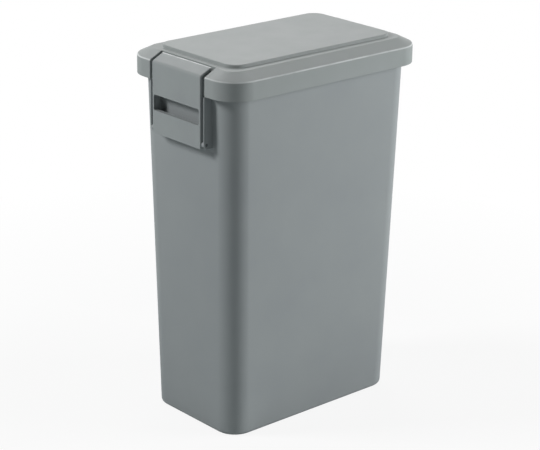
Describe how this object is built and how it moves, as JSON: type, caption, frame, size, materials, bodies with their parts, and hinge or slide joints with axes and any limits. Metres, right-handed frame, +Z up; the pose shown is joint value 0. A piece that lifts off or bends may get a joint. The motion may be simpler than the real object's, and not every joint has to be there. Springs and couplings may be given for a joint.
{
  "type": "lidded trash can",
  "caption": "Slim rectangular waste bin in moulded plastic, with a drop-on sealed lid held by a hinged lock handle at each narrow end.",
  "frame": {"origin": "centre of the base, on the floor", "axes": "+Z up, X along the bin through both lock handles, Y across it"},
  "size_m": [0.402, 0.252, 0.6],
  "materials": {
    "body_plastic": "moulded polypropylene, grey, fine satin",
    "lid_plastic": "moulded polypropylene, grey, fine satin",
    "handle_plastic": "moulded polypropylene, grey, satin",
    "seal_rubber": "soft extruded rubber, matt",
    "pin_plastic": "moulded plastic, dark grey"
  },
  "bodies": {
    "body": {"bin_body": "body_plastic", "hinge_pin_left": "pin_plastic", "hinge_pin_right": "pin_plastic"},
    "lid": {"lid": "lid_plastic", "lid_seal": "seal_rubber"},
    "handle_left": {"lock_handle_left": "handle_plastic"},
    "handle_right": {"lock_handle_right": "handle_plastic"}
  },
  "joints": [
    {"name": "lid_lift", "type": "slide", "parent": "body", "child": "lid", "axis": [0, 0, 1], "range_m": [0, 0.038]},
    {"name": "handle_left_swing", "type": "hinge", "parent": "body", "child": "handle_left", "pos_m": [-0.1945, 0, 0.479], "axis": [0, -1, 0], "range_deg": [0, 175.1]},
    {"name": "handle_right_swing", "type": "hinge", "parent": "body", "child": "handle_right", "pos_m": [0.1945, 0, 0.479], "axis": [0, 1, 0], "range_deg": [0, 175.1]}
  ],
  "couplings": [
    {"joint": "handle_left_swing", "follows": "lid_lift", "rad_per_m": 80.37},
    {"joint": "handle_right_swing", "follows": "lid_lift", "rad_per_m": 80.37}
  ]
}
